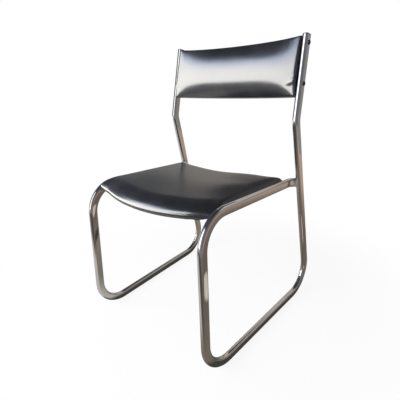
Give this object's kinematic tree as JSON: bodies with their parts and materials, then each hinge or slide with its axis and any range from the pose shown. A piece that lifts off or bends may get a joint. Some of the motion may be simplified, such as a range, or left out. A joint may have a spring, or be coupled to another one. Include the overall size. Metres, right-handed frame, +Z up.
{
  "type": "sled base chair",
  "caption": "Sled base chair with bent flat-oval tube sides, a dished padded seat between the rails and a stuffed backrest screwed between the uprights.",
  "frame": {"origin": "on the floor, midway between the front and rear ends of the runners and midway between the two sides", "axes": "+Z up, the sitter faces -Y, +X is the side nearer the camera in the picture"},
  "size_m": [0.5102, 0.5438, 0.7915],
  "materials": {
    "chromed_tube": "polished chrome plate, lightly worn",
    "black_plastic": "matt",
    "plywood": "raw moulded plywood",
    "foam": "open-cell upholstery foam",
    "black_leatherette": "satin black leatherette",
    "dust_cloth": "thin black non-woven cloth",
    "zinc_steel": "zinc plated",
    "dark_screw": "blackened"
  },
  "bodies": {
    "root": {"right_side_frame": "chromed_tube", "left_side_frame": "chromed_tube", "right_rail_weld": "chromed_tube", "left_rail_weld": "chromed_tube", "front_cross_bar": "chromed_tube", "rear_cross_bar": "chromed_tube", "cross_bar_welds": "chromed_tube", "right_end_cap": "black_plastic", "left_end_cap": "black_plastic", "seat_board": "plywood", "back_core": "plywood", "seat_foam": "foam", "back_foam": "foam", "seat_cover": "black_leatherette", "back_cover": "black_leatherette", "seat_dust_cloth": "dust_cloth", "seat_staples": "zinc_steel", "seat_t_nuts": "zinc_steel", "seat_screws": "zinc_steel", "seat_washers": "zinc_steel", "back_inserts": "zinc_steel", "back_screws": "dark_screw"}
  },
  "joints": []
}
